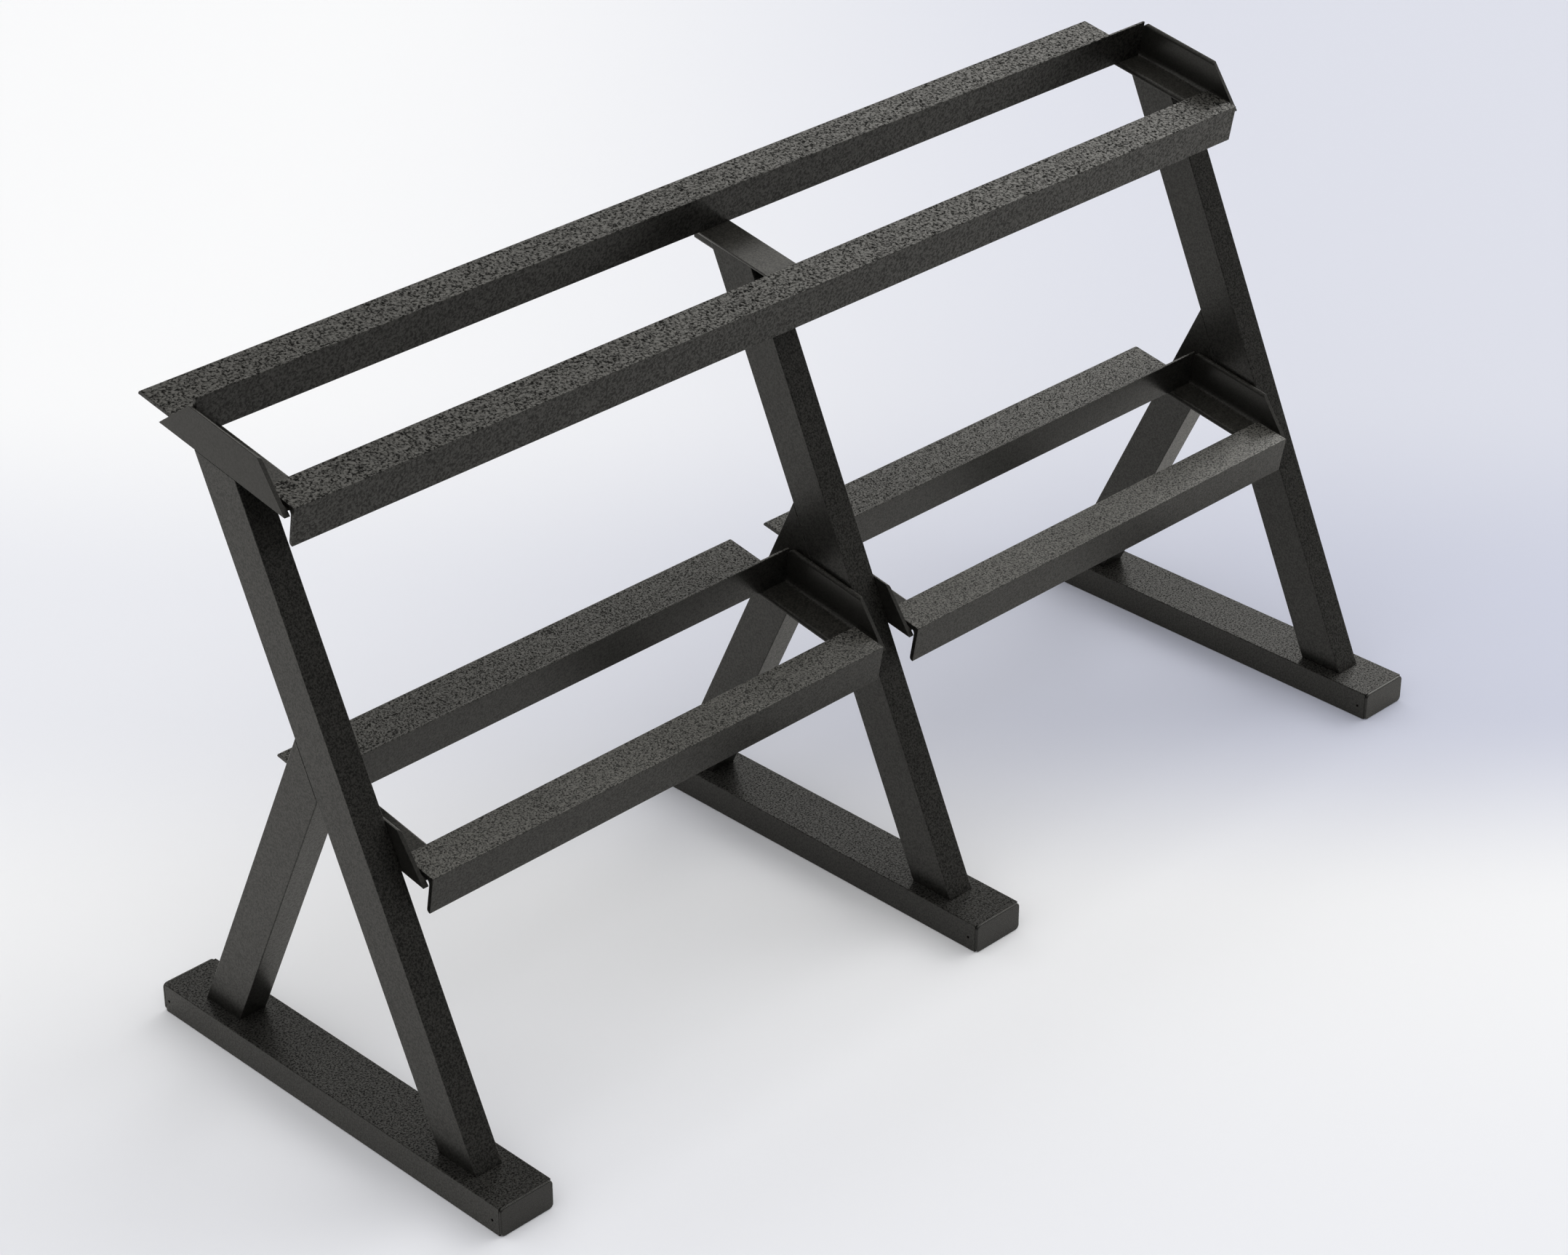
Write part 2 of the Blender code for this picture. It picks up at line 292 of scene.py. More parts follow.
def box_section(a0, a1, b0, b1, radius, via=None):
    """A rectangle with an arc at each corner. If via is given, both sides along a have a point at a = via."""
    turn = quarter()
    pieces = [arc((a1, b1), (0, -1), (-1, 0), radius, turn)]
    if via is not None:
        pieces.append(np.array([(via, b1)]))
    pieces += [
        arc((a0, b1), (1, 0), (0, -1), radius, turn),
        arc((a0, b0), (0, 1), (1, 0), radius, turn),
    ]
    if via is not None:
        pieces.append(np.array([(via, b0)]))
    pieces.append(arc((a1, b0), (-1, 0), (0, 1), radius, turn))
    return np.vstack(pieces)


def inward(loop):
    """Into the metal, square to the outline, and longer at a corner, so that both its sides move by one."""
    side = np.roll(loop, -1, axis=0) - loop
    side /= np.linalg.norm(side, axis=1, keepdims=True)
    square = np.stack([-side[:, 1], side[:, 0]], axis=1)
    before = np.roll(square, 1, axis=0)
    both = (square + before) / (1 + (square * before).sum(axis=1, keepdims=True))
    after = np.roll(loop, -1, axis=0)
    area = (loop[:, 0] * after[:, 1] - after[:, 0] * loop[:, 1]).sum()
    return both * math.copysign(1, area)


def walls(loop, into, start, end, edge):
    """The long surface over one outline, as a grid of stations by outline points.

    Near both cuts, with t from a quarter turn to 0, the outline shrinks by edge (1 - cos t) while it moves
    along by edge (1 - sin t), which rounds the sawn edge. start and end give where each point is cut.
    """
    turn = quarter()[::-1]
    shrunk = loop + into * (edge * (1 - np.cos(turn)))[:, None, None]
    along = (edge * (1 - np.sin(turn)))[:, None]
    front = np.dstack([shrunk, start(shrunk, loop) + along])
    back = np.dstack([shrunk, end(shrunk, loop) - along])[::-1]
    return np.concatenate([front, back])


def grid_faces(rows, columns, first):
    """Quads between neighbouring rows of a grid that closes round its columns."""
    row, column = np.meshgrid(np.arange(rows - 1), np.arange(columns), indexing="ij")
    beside = (column + 1) % columns
    here, after = row * columns, (row + 1) * columns
    corners = here + column, here + beside, after + beside, after + column
    return first + np.stack([c.ravel() for c in corners], axis=1)


def strip_faces(left, right, closed=False):
    """Quads between two matched rows of points, given by their numbers."""
    step = (lambda row: np.roll(row, -1)) if closed else (lambda row: row[1:])
    trim = slice(None) if closed else slice(None, -1)
    return np.stack([left[trim], step(left), step(right), right[trim]], axis=1)


def bar(outer, inner, place, start, end, edge, tube):
    """A closed bar of a matched section between two cuts: its long walls, and a strip across each cut face.

    A tube has a wall over each outline, and any other bar has one wall round both outlines as one loop.
    """
    count = len(outer)
    if tube:
        grids = [
            walls(outer, inward(outer), start, end, edge),
            walls(inner, -inward(inner), start, end, edge),
        ]
        first = [0, grids[0].shape[0] * count]
        faces = [grid_faces(g.shape[0], count, f) for g, f in zip(grids, first)]
        rows = grids[0].shape[0]
        for row in (0, rows - 1):
            here = row * count + np.arange(count)
            faces.append(strip_faces(here, first[1] + here, closed=True))
    else:
        loop = np.vstack([outer, inner[::-1]])
        grids = [walls(loop, inward(loop), start, end, edge)]
        rows = grids[0].shape[0]
        faces = [grid_faces(rows, 2 * count, 0)]
        for row in (0, rows - 1):
            here = row * 2 * count + np.arange(2 * count)
            faces.append(strip_faces(here[:count], here[count:][::-1]))
    local = np.concatenate([g.reshape(-1, 3) for g in grids])
    origin, axes = place
    return local @ axes + origin, np.vstack(faces).tolist()


def loft(rings, place):
    """Rings of one point count joined in order, each end closed by a fan to its middle."""
    rings = np.asarray(rings)
    rows, columns, _ = rings.shape
    points = rings.reshape(-1, 3)
    middles = np.stack([rings[0].mean(axis=0), rings[-1].mean(axis=0)])
    column = np.arange(columns)
    beside = (column + 1) % columns
    last = (rows - 1) * columns
    fans = [
        np.stack([column, beside, np.full(columns, rows * columns)], axis=1),
        np.stack([last + beside, last + column, np.full(columns, rows * columns + 1)], axis=1),
    ]
    origin, axes = place
    world = np.vstack([points, middles]) @ axes + origin
    return world, grid_faces(rows, columns, 0).tolist() + fans[0].tolist() + fans[1].tolist()


def flat(distance):
    """A cut square to the bar at one distance.

    Every cut gives the distance along the bar for points of its section. home holds the same points as they
    are before a sawn edge is rounded.
    """
    return lambda points, home: np.full(points.shape[:-1], distance)


def plane_cut(place, point, normal):
    """A cut on a plane through a point p with a normal n.

    A point o + a A + b B of the section, carried along S, meets it at s = ((p - o).n - a A.n - b B.n) / S.n.
    """
    origin, axes = place
    tilt = axes @ normal
    reach = (point - origin) @ normal
    return lambda points, home: (reach - points[..., 0] * tilt[0] - points[..., 1] * tilt[1]) / tilt[2]


def placed(origin, a_axis, b_axis, along):
    """Where a section goes: its origin, its two directions, and the one that it is carried along."""
    return np.asarray(origin, float), np.array([a_axis, b_axis, along], float)


# ---------------------------------------------------------------- where things are


def box(node):
    """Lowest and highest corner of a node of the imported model."""
    low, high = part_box(node)
    return np.array(low), np.array(high)


def shelf_axes(sizes):
    """Down the slope to the front, and square to the shelf."""
    down = np.array([0, -math.cos(sizes.slope), -math.sin(sizes.slope)])
    up = np.array([0, -math.sin(sizes.slope), math.cos(sizes.slope)])
    return down, up


def shelf_corner(shelf, sizes):
    """Where u and w are 0, from the box of the shelf's left end angle."""
    low, high = box(f"{shelf}_end_angle_left")
    return np.array([0, high[1], low[2] + sizes.shelf_deep * math.sin(sizes.slope)])


def rail_place(shelf, sizes):
    """Section in (u, w), carried along X."""
    down, up = shelf_axes(sizes)
    return placed(shelf_corner(shelf, sizes), down, up, (1, 0, 0))


def bearer_place(shelf, sizes):
    """Section in (X, w), carried along u."""
    down, up = shelf_axes(sizes)
    return placed(shelf_corner(shelf, sizes), (1, 0, 0), up, down)


def side_x(side):
    """Middle of a side frame, along the rack."""
    low, high = box(f"floor_tube_{side}")
    return (low[0] + high[0]) / 2


def leg_place(kind, side, sizes):
    """Section in (X, depth), carried up the leg from where it stands on the floor tube."""
    low, high = box(f"{kind}_{side}")
    cos, sin = math.cos(sizes.lean), math.sin(sizes.lean)
    if kind == "post":
        return placed((side_x(side), low[1], low[2]), (1, 0, 0), (0, sin, -cos), (0, cos, sin))
    foot = high[1] - sizes.leg_deep / sin
    return placed((side_x(side), foot, low[2]), (1, 0, 0), (0, sin, cos), (0, -cos, sin))


# ---------------------------------------------------------------- meshes into the scene


def finished(node, points, faces, material):
    """A closed piece, faces outwards, smooth apart from its sharp edges, in place of its node."""
    name = node + ".finish"
    mesh = bpy.data.meshes.new(name)
    mesh.from_pydata(points.tolist(), [], faces)
    made = bpy.data.objects.new(name, mesh)
    bpy.context.scene.collection.objects.link(made)
    face_outwards(mesh)
    mesh.materials.append(material)
    shade(made)
    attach(made, "root")
    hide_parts(node)
    return made


def face_outwards(mesh):
    bm = bmesh.new()
    bm.from_mesh(mesh)
    bmesh.ops.recalc_face_normals(bm, faces=bm.faces)
    bm.to_mesh(mesh)
    bm.free()


def shade(made):
    """Smooth shading between sharp edges, with normals that keep flat faces flat."""
    made.data.shade_smooth()
    made.data.set_sharp_from_angle(angle=SHARP_EDGE)
    weighted = made.modifiers.new("Weighted normals", "WEIGHTED_NORMAL")
    weighted.keep_sharp = True
    weighted.weight = FLAT_WEIGHT


def add_bar(node, section, place, cuts, sizes, material, tube=False):
    points, faces = bar(*section, place, *cuts, sizes.edge, tube)
    return finished(node, points, faces, material)


def signed(section, corner, sign_a, sign_b):
    """The section moved to its corner, with each of its directions kept or turned round."""
    outer, inner = section
    turn = np.array([sign_a, sign_b])
    return corner + outer * turn, corner + inner * turn


# ---------------------------------------------------------------- coatings


def new_group(name, inputs, outputs):
    tree = bpy.data.node_groups.new(name, "ShaderNodeTree")
    for label, kind in inputs:
        tree.interface.new_socket(label, in_out="INPUT", socket_type="NodeSocket" + kind)
    for label, kind in outputs:
        tree.interface.new_socket(label, in_out="OUTPUT", socket_type="NodeSocket" + kind)
    return tree


def node(tree, kind, values=None, **settings):
    made = tree.nodes.new("ShaderNode" + kind)
    for key, value in settings.items():
        setattr(made, key, value)
    for key, value in (values or {}).items():
        made.inputs[key].default_value = value
    return made


def mapped(source, target=(0.0, 1.0)):
    """Values of a Map Range node that takes one range to another."""
    return {"From Min": source[0], "From Max": source[1], "To Min": target[0], "To Max": target[1]}


def wire(tree, *pairs):
    for source, target in pairs:
        tree.links.new(source, target)


def coat_group():
    """Textured powder coat: wrinkled cells of noise, with light, glossy crests and dark, dull, rough pits.

    The grain is strongest on faces that look up, and only a share of it, Upright, is left on the rest. The
    crests are Crest on upright faces and Top crest on faces that look up, which paints light on the upper
    faces, as if lit from above. The gloss is Top gloss on faces that look up and Gloss on the rest, plus
    Contrast (grain - 0.5) times the grain's share, with grain 0 in the pits and 1 on the crests.
    """
    found = bpy.data.node_groups.get("Powder coat")
    if found:
        return found
    tones = ("Pit", "Crest", "Top crest")
    values = ("Grain", "Rough", "Pit rough", "Upright", "Gloss", "Top gloss", "Contrast")
    tree = new_group(
        "Powder coat",
        [(tone, "Color") for tone in tones] + [(value, "Float") for value in values],
        [("Color", "Color"), ("Roughness", "Float"), ("Gloss", "Float"), ("Height", "Float")],
    )
    given = tree.nodes.new("NodeGroupInput")
    result = tree.nodes.new("NodeGroupOutput")
    place = node(tree, "TexCoord")
    fine = node(tree, "TexNoise", {"Detail": 2.0, "Roughness": 0.55, "Distortion": 0.6})
    broad = node(tree, "TexNoise", {"Scale": PATCH_SCALE, "Detail": 2.0})
    grain = node(tree, "MapRange", mapped(GRAIN_BAND))
    patch = node(tree, "MapRange", mapped(PATCH_BAND, PATCH_TONES))
    facing = node(tree, "NewGeometry")
    parts = node(tree, "SeparateXYZ")
    # up turns the crests to the Top crest tone on faces that look up, a painted light from above, and the
    # gloss to Top gloss.
    up = node(tree, "MapRange", mapped(UPPER_BAND))
    crest = node(tree, "Mix", data_type="RGBA")
    mix = node(tree, "Mix", data_type="RGBA")
    tone = node(tree, "Mix", {"Factor": 1.0}, data_type="RGBA", blend_type="MULTIPLY")
    rough = node(tree, "Mix")
    share = node(tree, "MapRange", mapped((0.0, UPPER_BAND[1])))
    height = node(tree, "Math", operation="MULTIPLY")
    swing = node(tree, "Math", {1: 0.5}, operation="SUBTRACT")
    shared = node(tree, "Math", operation="MULTIPLY")
    level = node(tree, "Mix")
    gloss = node(tree, "Math", operation="MULTIPLY_ADD", use_clamp=True)
    wire(
        tree,
        (place.outputs["Object"], fine.inputs["Vector"]),
        (place.outputs["Object"], broad.inputs["Vector"]),
        (given.outputs["Grain"], fine.inputs["Scale"]),
        (fine.outputs["Fac"], grain.inputs["Value"]),
        (broad.outputs["Fac"], patch.inputs["Value"]),
        (facing.outputs["Normal"], parts.inputs["Vector"]),
        (parts.outputs["Z"], up.inputs["Value"]),
        (up.outputs["Result"], socket(crest, "Factor")),
        (given.outputs["Crest"], socket(crest, "A")),
        (given.outputs["Top crest"], socket(crest, "B")),
        (grain.outputs["Result"], socket(mix, "Factor")),
        (given.outputs["Pit"], socket(mix, "A")),
        (mixed(crest), socket(mix, "B")),
        (mixed(mix), socket(tone, "A")),
        (patch.outputs["Result"], socket(tone, "B")),
        (mixed(tone), result.inputs["Color"]),
        (grain.outputs["Result"], socket(rough, "Factor")),
        (given.outputs["Pit rough"], socket(rough, "A")),
        (given.outputs["Rough"], socket(rough, "B")),
        (mixed(rough), result.inputs["Roughness"]),
        (parts.outputs["Z"], share.inputs["Value"]),
        (given.outputs["Upright"], share.inputs["To Min"]),
        (grain.outputs["Result"], height.inputs[0]),
        (share.outputs["Result"], height.inputs[1]),
        (height.outputs["Value"], result.inputs["Height"]),
        (grain.outputs["Result"], swing.inputs[0]),
        (swing.outputs["Value"], shared.inputs[0]),
        (share.outputs["Result"], shared.inputs[1]),
        (shared.outputs["Value"], gloss.inputs[0]),
        (given.outputs["Contrast"], gloss.inputs[1]),
        (up.outputs["Result"], socket(level, "Factor")),
        (given.outputs["Gloss"], socket(level, "A")),
        (given.outputs["Top gloss"], socket(level, "B")),
        (mixed(level), gloss.inputs[2]),
        (gloss.outputs["Value"], result.inputs["Gloss"]),
    )
    return tree


def socket(mix, name):
    """A Mix node's input that is in use, as it holds one set for numbers and one for colours."""
    return next(s for s in mix.inputs if s.name == name and s.enabled)


def mixed(mix):
    return next(s for s in mix.outputs if s.enabled)


def coat_material(name, looks, relief, values):
    """A Principled shader whose colour, roughness, gloss and relief come from the coat group.

    The group takes what the powder coats share, with the coat's own values over that.
    """
    made = bpy.data.materials.get(name)
    if made:
        return made
    made = bpy.data.materials.new(name)
    made.use_nodes = True
    tree = made.node_tree
    shader = tree.nodes["Principled BSDF"]
    shader.inputs["IOR"].default_value = 1.5
    shader.inputs["Specular IOR Level"].default_value = 0.05
    shader.inputs["Specular Tint"].default_value = opaque(looks.sheen)
    shared = {
        "Pit": opaque(looks.pit),
        "Crest": opaque(looks.crest, share=0.6),
        "Grain": looks.fine,
        "Rough": looks.rough,
        "Gloss": 0.6,
        "Top gloss": 0.6,
        "Contrast": 1.1,
    }
    values = {**shared, **values}
    shader.inputs["Coat Roughness"].default_value = values["Rough"]
    group = tree.nodes.new("ShaderNodeGroup")
    group.node_tree = coat_group()
    for key, value in values.items():
        group.inputs[key].default_value = value
    raised = node(tree, "Bump", {"Strength": relief, "Distance": CREST_HEIGHT})
    wire(
        tree,
        (group.outputs["Color"], shader.inputs["Base Color"]),
        (group.outputs["Roughness"], shader.inputs["Roughness"]),
        (group.outputs["Gloss"], shader.inputs["Coat Weight"]),
        (group.outputs["Height"], raised.inputs["Height"]),
        (raised.outputs["Normal"], shader.inputs["Normal"]),
    )
    return made


def opaque(tone, share=1.0):
    """A share of a colour, for a socket."""
    return (*(share * channel for channel in tone), 1.0)


def coarse_coat(looks):
    """Top rails."""
    values = {
        # Upper faces take the lighter top crest, painted light from above.
        "Top crest": opaque(looks.painted_light_top_crest),
        "Grain": looks.coarse,
        "Pit rough": 0.8,
        "Upright": 0.3,
        "Gloss": 0.55,
    }
    return coat_material("Coarse powder coat", looks, 1.0, values)


def fine_coat(looks):
    """Rear rails of the lower shelves."""
    # Upper faces take the fine crest: painted light from above, made stronger to make up for the shade that
    # the top shelf casts on the lower shelves.
    values = {"Top crest": opaque(looks.painted_light_low_crest), "Pit rough": 0.5, "Upright": 0.15}
    return coat_material("Fine powder coat", looks, 0.6, values)


def front_coat(looks):
    """Front rails of the lower shelves: painted light on top, half as much again as the fine crest, to make
    up for the shade that the top shelf casts on them, and duller in front.
    """
    values = {
        "Top crest": opaque(looks.painted_light_low_crest, share=1.5),
        "Pit rough": 0.5,
        "Upright": 0.15,
        "Gloss": 0.47,
        "Top gloss": 0.95,
        "Contrast": 0.9,
    }
    return coat_material("Front powder coat", looks, 0.6, values)


def tube_coat(looks):
    """Floor tubes, posts and braces."""
    values = {
        "Crest": opaque(looks.crest, share=0.65),
        # Upper faces of the tubes, posts and braces take a lighter crest, painted light from above.
        "Top crest": opaque(looks.painted_light_low_crest, share=0.4),
        "Rough": looks.tube_rough,
        "Pit rough": 0.6,
        "Upright": 0.12,
        "Gloss": 0.7,
        "Top gloss": 0.7,
    }
    return coat_material("Tube powder coat", looks, 0.6, values)


def smooth_coat(looks):
    """End angles and cross angle, almost without grain."""
    values = {
        "Pit": opaque(looks.crest, share=0.3),
        # Upper faces take a lighter crest, painted light from above.
        "Top crest": opaque(looks.crest, share=1.3),
        "Pit rough": looks.rough + 0.1,
        "Upright": 0.3,
        "Gloss": 0.55,
        "Top gloss": 0.75,
        "Contrast": 0.15,
    }
    return coat_material("Smooth powder coat", looks, 0.2, values)


def cap_plastic(looks):
    """Moulded end caps."""
    values = {
        "Pit": opaque(looks.cap, share=0.8),
        "Crest": opaque(looks.cap),
        # Upper faces of the caps are painted nine times lighter, a painted light from above.
        "Top crest": opaque(looks.cap, share=9.0),
        "Grain": looks.fine * 2,
        "Rough": looks.cap_rough,
        "Pit rough": looks.cap_rough + 0.08,
        "Upright": 0.5,
        "Top gloss": 0.9,
        "Contrast": 0.2,
    }
    return coat_material("End cap plastic", looks, 0.1, values)


# ---------------------------------------------------------------- operators


class RACK_OT_floor_tubes(Operator):
    """Builds the three floor tubes, drilled near both ends"""

    bl_idname = "rack.floor_tubes"
    bl_label = "Floor tubes"

    def execute(self, context):
        sizes = context.scene.rack_sizes
        material = tube_coat(context.scene.rack_coat)
        for side in SIDES:
            low, high = box(f"floor_tube_{side}")
            place = placed((0, high[1], 0), (1, 0, 0), (0, 0, 1), (0, -1, 0))
            wall = sizes.wall
            bore = low[0] + wall, high[0] - wall, low[2] + wall, high[2] - wall
            section = (
                box_section(low[0], high[0], low[2], high[2], sizes.tube_corner),
                box_section(*bore, sizes.edge),
            )
            cuts = flat(0.0), flat(high[1] - low[1])
            made = add_bar(
                f"floor_tube_{side}", section, place, cuts, sizes, material, tube=True
            )
            for y in (low[1] + sizes.hole_inset, high[1] - sizes.hole_inset_rear):
                drill(made, (side_x(side), y, sizes.hole_high), sizes.hole, high[0] - low[0])
        return {"FINISHED"}


def drill(made, centre, radius, width):
    """Cuts a round hole across the piece, and leaves the result in its mesh."""
    bm = bmesh.new()
    bmesh.ops.create_cone(
        bm,
        cap_ends=True,
        segments=DRILL_SIDES,
        radius1=radius,
        radius2=radius,
        depth=width * DRILL_REACH,
        matrix=Matrix.Translation(centre) @ Matrix.Rotation(math.pi / 2, 4, "Y"),
    )
    mesh = bpy.data.meshes.new("Drill")
    bm.to_mesh(mesh)
    bm.free()
    tool = bpy.data.objects.new("Drill", mesh)
    bpy.context.scene.collection.objects.link(tool)
    made.modifiers.clear()
    cut = made.modifiers.new("Drill", "BOOLEAN")
    cut.operation = "DIFFERENCE"
    cut.solver = "EXACT"
    cut.object = tool
    bpy.context.view_layer.update()
    graph = bpy.context.evaluated_depsgraph_get()
    old = made.data
    made.data = bpy.data.meshes.new_from_object(made.evaluated_get(graph))
    made.modifiers.clear()
    bpy.data.meshes.remove(old)
    bpy.data.objects.remove(tool)
    bpy.data.meshes.remove(mesh)
    shade(made)


class RACK_OT_end_caps(Operator):
    """Builds the six moulded end caps with their hollow plugs"""

    bl_idname = "rack.end_caps"
    bl_label = "End caps"

    def execute(self, context):
        sizes = context.scene.rack_sizes
        material = cap_plastic(context.scene.rack_coat)
        for side in SIDES:
            for end, facing in (("front", -1), ("rear", 1)):
                self.cap(f"cap_{side}_{end}", facing, sizes, material)
        return {"FINISHED"}

    def cap(self, name, facing, sizes, material):
        """A loft of rounded rectangles: over the flange, down its back, round the plug and into its well.

        Each ring lies a step in from the flange's outline, at a depth outwards from the tube's end.
        """
        low, high = box(name)
        wide, tall = (high[0] - low[0]) / 2, (high[2] - low[2]) / 2
        outside = high[1] if facing > 0 else low[1]
        plug_deep = high[1] - low[1] - sizes.flange
        origin = ((low[0] + high[0]) / 2, outside - facing * sizes.flange, tall)
        place = placed(origin, (1, 0, 0), (0, 0, 1), (0, facing, 0))
        inset = sizes.wall + sizes.gap
        soft = sizes.edge
        well = inset + sizes.plug_wall
        rounding = sizes.flange_edge
        steps = [(rounding + share * tall, sizes.flange) for share in CAP_FRONT_RINGS]
        steps += [
            (rounding * (1 - math.sin(turn)), sizes.flange - rounding * (1 - math.cos(turn)))
            for turn in quarter()
        ]
        steps += [(0.0, soft), (soft, 0.0), (inset, 0.0), (inset, soft - plug_deep)]
        steps += [(inset + soft, -plug_deep), (well - soft, -plug_deep), (well, soft - plug_deep)]
        steps += [(well, -soft), (well + CAP_WELL_RING * tall, -soft)]
        corner = sizes.flange_corner
        rings = [self.ring(wide - step, tall - step, corner - step, depth) for step, depth in steps]
        points, faces = loft(rings, place)
        finished(name, points, faces, material)

    @staticmethod
    def ring(wide, tall, radius, depth):
        outline = box_section(-wide, wide, -tall, tall, max(radius, CAP_LEAST_RADIUS))
        return np.column_stack([outline, np.full(len(outline), depth)])


class RACK_OT_posts(Operator):
    """Builds the three posts, sawn level at the foot and along the shelf at the top"""

    bl_idname = "rack.posts"
    bl_label = "Posts"

    def execute(self, context):
        sizes = context.scene.rack_sizes
        material = tube_coat(context.scene.rack_coat)
        _, up = shelf_axes(sizes)
        under = shelf_corner("top", sizes) - up * sizes.gap
        for side in SIDES:
            low, high = box(f"post_{side}")
            place = leg_place("post", side, sizes)
            half = (high[0] - low[0]) / 2
            relief = half - sizes.root
            section = leg_section(half, sizes, relief)
            top = plane_cut(place, under, up)
            if side == "middle":
                top = relieved(top, relief)
            cuts = plane_cut(place, place[0], UPWARDS), top
            add_bar(f"post_{side}", section, place, cuts, sizes, material, tube=True)
        return {"FINISHED"}


def leg_section(half, sizes, via=None):
    """Post or brace: a rectangle half its width to either side, from front face to back, and its bore."""
    wall = sizes.wall
    outer = box_section(-half, half, 0.0, sizes.leg_deep, sizes.tube_corner, via)
    inner = box_section(wall - half, half - wall, wall, sizes.leg_deep - wall, sizes.edge, via)
    return outer, inner


def relieved(cut, start):
    """The same cut, less a fall in proportion to the distance beyond a = start, to clear a root fillet."""
    return lambda points, home: cut(points, home) - RELIEF_FALL * np.maximum(points[..., 0] - start, 0)


class RACK_OT_braces(Operator):
    """Builds the three braces, fitted to the backs of the posts"""

    bl_idname = "rack.braces"
    bl_label = "Braces"

    def execute(self, context):
        sizes = context.scene.rack_sizes
        material = tube_coat(context.scene.rack_coat)
        for side in SIDES:
            low, high = box(f"brace_{side}")
            place = leg_place("brace", side, sizes)
            post_origin, post_axes = leg_place("post", side, sizes)
            back = post_origin + post_axes[1] * (sizes.leg_deep + sizes.gap)
            section = leg_section((high[0] - low[0]) / 2, sizes)
            cuts = plane_cut(place, place[0], UPWARDS), plane_cut(place, back, post_axes[1])
            add_bar(f"brace_{side}", section, place, cuts, sizes, material, tube=True)
        return {"FINISHED"}


class RACK_OT_end_angles(Operator):
    """Builds the two end angles of each shelf, mitred at both ends of the upright leg"""

    bl_idname = "rack.end_angles"
    bl_label = "End angles"

    def execute(self, context):
        sizes = context.scene.rack_sizes
        material = smooth_coat(context.scene.rack_coat)
        for shelf in SHELVES:
            place = bearer_place(shelf, sizes)
            for hand, inwards in (("left", 1), ("right", -1)):
                name = f"{shelf}_end_angle_{hand}"
                low, high = box(name)
                x = low[0] if inwards > 0 else high[0]
                section = angle_section(sizes, sizes.leg, sizes.leg, sizes.notch)
                section = signed(section, np.array([x, 0.0]), inwards, 1)
                cuts = rear_mitre, front_mitre(x, sizes)
                add_bar(name, section, place, cuts, sizes, material)
        return {"FINISHED"}


def rear_mitre(points, home):
    """Cut at 45 degrees: u equals the height w."""
    return points[..., 1]


def front_mitre(x, sizes):
    """u equals the shelf's depth less the height w, or the bearer's depth beyond the notch."""

    def cut(points, home):
        slanted = sizes.shelf_deep - points[..., 1]
        square = np.full(points.shape[:-1], sizes.bearer_front)
        return np.where(abs(home[:, 0] - x) > sizes.notch, square, slanted)

    return cut


class RACK_OT_rails(Operator):
    """Builds the rear and front rail of each shelf"""

    bl_idname = "rack.rails"
    bl_label = "Rails"

    def execute(self, context):
        sizes = context.scene.rack_sizes
        looks = context.scene.rack_coat
        seat = sizes.thick + sizes.gap
        rails = (
            ("rear_rail", sizes.seat_leg, (sizes.rear_face, seat), -1, 1, fine_coat),
            ("front_rail", sizes.leg, (sizes.front_face, seat + sizes.thick), -1, -1, front_coat),
        )
        for shelf in SHELVES:
            place = rail_place(shelf, sizes)
            for name, wide, corner, sign_a, sign_b, low_coat in rails:
                low, high = box(f"{shelf}_{name}")
                material = coarse_coat(looks) if shelf == "top" else low_coat(looks)
                section = signed(angle_section(sizes, wide, sizes.leg), np.array(corner), sign_a, sign_b)
                cuts = flat(low[0]), flat(high[0])
                add_bar(f"{shelf}_{name}", section, place, cuts, sizes, material)
        return {"FINISHED"}


class RACK_OT_cross_angle(Operator):
    """Builds the angle that ties the top rails over the middle post"""

    bl_idname = "rack.cross_angle"
    bl_label = "Cross angle"

    def execute(self, context):
        sizes = context.scene.rack_sizes
        material = smooth_coat(context.scene.rack_coat)
        _, high = box("top_cross_angle")
        section = signed(
            angle_section(sizes, sizes.leg, sizes.leg), np.array([high[0], sizes.thick]), -1, -1
        )
        cuts = flat(0.0), flat(sizes.bearer_front)
        place = bearer_place("top", sizes)
        add_bar("top_cross_angle", section, place, cuts, sizes, material)
        return {"FINISHED"}


# ---------------------------------------------------------------- studio


def ramp(strip, looks, shades):
    """Sets a colour ramp to the floor's tone at each depth: floor + share (shade - floor)."""
    elements = strip.color_ramp.elements
    while len(elements) < len(shades):
        elements.new(position=0.5)
    start, end = DEPTH_REACH
    for element, depth, share in zip(elements, FLOOR_DEPTHS, shades):
        element.position = (depth - start) / (end - start)
        element.color = opaque(w + share * (s - w) for w, s in zip(looks.floor, looks.shade))
    strip.color_ramp.interpolation = "EASE"


